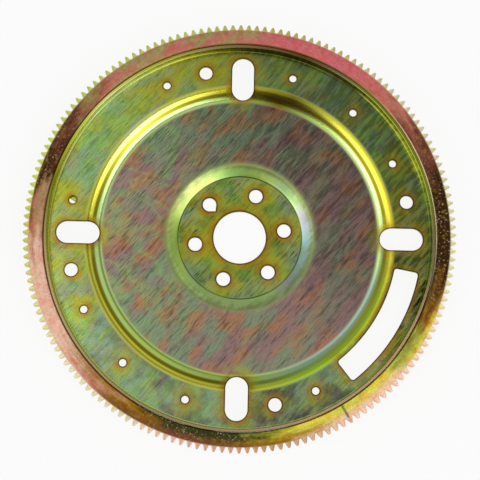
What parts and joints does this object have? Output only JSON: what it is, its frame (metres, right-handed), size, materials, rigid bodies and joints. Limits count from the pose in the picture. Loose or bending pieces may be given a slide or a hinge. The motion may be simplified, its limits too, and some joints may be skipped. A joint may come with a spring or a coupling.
{
  "type": "flexplate",
  "caption": "Stamped dished steel disc with a toothed ring gear welded round its flanged rim, slotted converter holes, a balance window and a yellow zinc finish.",
  "frame": {"origin": "centre of the pilot bore on the hub's back face, which lies on the crankshaft", "axes": "+Z along the bore towards the torque converter, +X through one of the converter slots"},
  "size_m": [0.3606, 0.3606, 0.0245],
  "materials": {
    "plated_sheet": "rolled sheet with an iridescent yellow zinc finish",
    "plated_ring": "machined ring with an iridescent yellow zinc finish",
    "plated_weld": "rippled weld bead under the same zinc finish",
    "plated_slab": "flame-cut slab under the same zinc finish"
  },
  "bodies": {
    "root": {"stamped_plate": "plated_sheet", "ring_gear": "plated_ring", "ring_stitch_welds": "plated_weld", "balance_weight": "plated_slab", "weight_welds": "plated_weld"}
  },
  "joints": []
}
